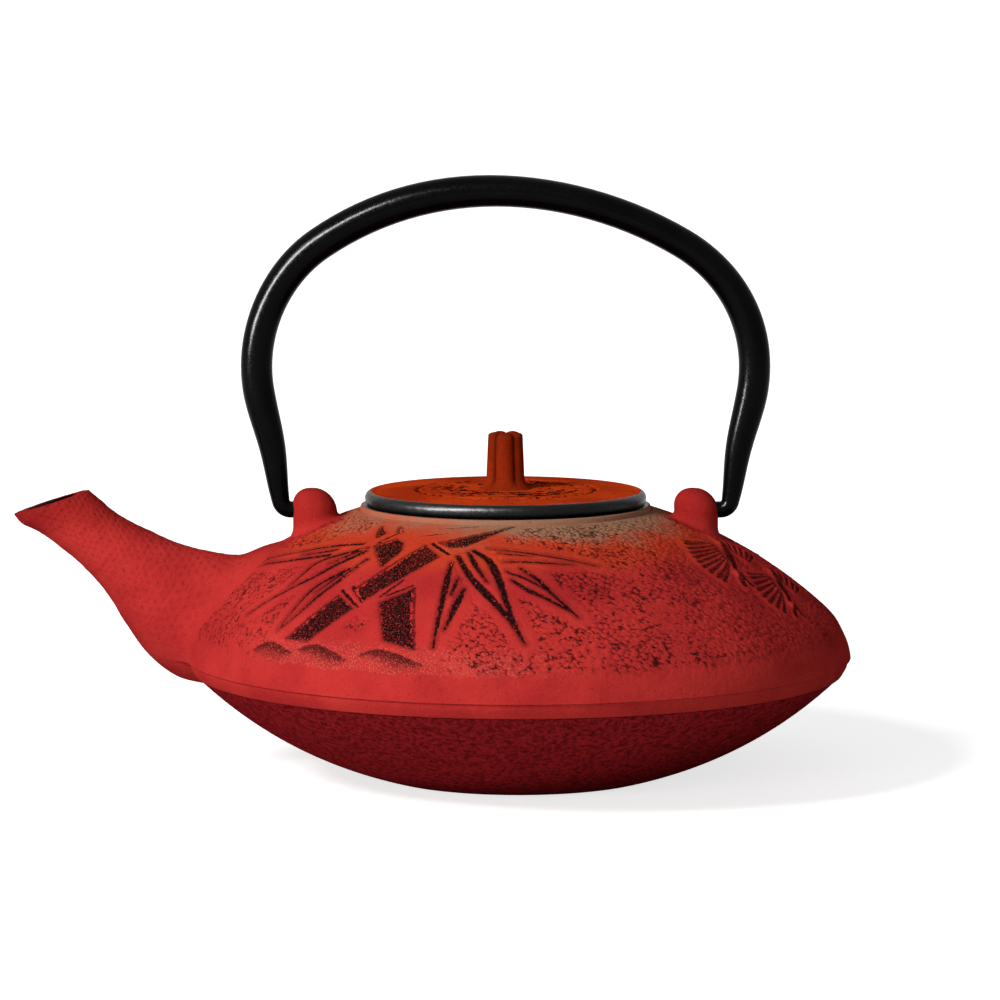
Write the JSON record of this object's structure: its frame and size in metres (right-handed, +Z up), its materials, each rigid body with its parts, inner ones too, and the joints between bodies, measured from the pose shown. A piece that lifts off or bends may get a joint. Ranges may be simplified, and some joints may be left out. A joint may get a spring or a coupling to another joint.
{
  "type": "teapot",
  "caption": "Low, wide cast-iron teapot with a curved spout, a swinging bail handle hooked into two ears, a lift-off lid with a fluted knob and a hanging steel infuser.",
  "frame": {"origin": "centre of the flat underside of the foot", "axes": "+Z up, -X towards the spout, +Y away from the viewer of the picture"},
  "size_m": [0.2132, 0.17, 0.1526],
  "materials": {
    "red_iron": "red lacquer rubbed over black, satin, textured",
    "black_iron": "black satin",
    "lid_iron": "orange red lacquer rubbed over black, satin",
    "steel": "plain stainless"
  },
  "bodies": {
    "pot": {"pot_body": "red_iron"},
    "handle": {"handle": "black_iron"},
    "infuser": {"infuser_rim": "steel", "infuser_mesh": "steel", "infuser_base": "steel"},
    "lid": {"lid": "lid_iron", "lid_knob": "lid_iron", "knob_washer": "steel"}
  },
  "joints": [
    {"name": "handle_swing", "type": "hinge", "parent": "pot", "child": "handle", "pos_m": [-0.0028, 0, 0.06782], "axis": [1, 0, 0], "range_deg": [-103, 103]},
    {"name": "infuser_lift", "type": "slide", "parent": "pot", "child": "infuser", "axis": [0, 0, 1], "range_m": [0, 0.05]},
    {"name": "lid_lift", "type": "slide", "parent": "infuser", "child": "lid", "axis": [0, 0, 1], "range_m": [0, 0.05]}
  ]
}
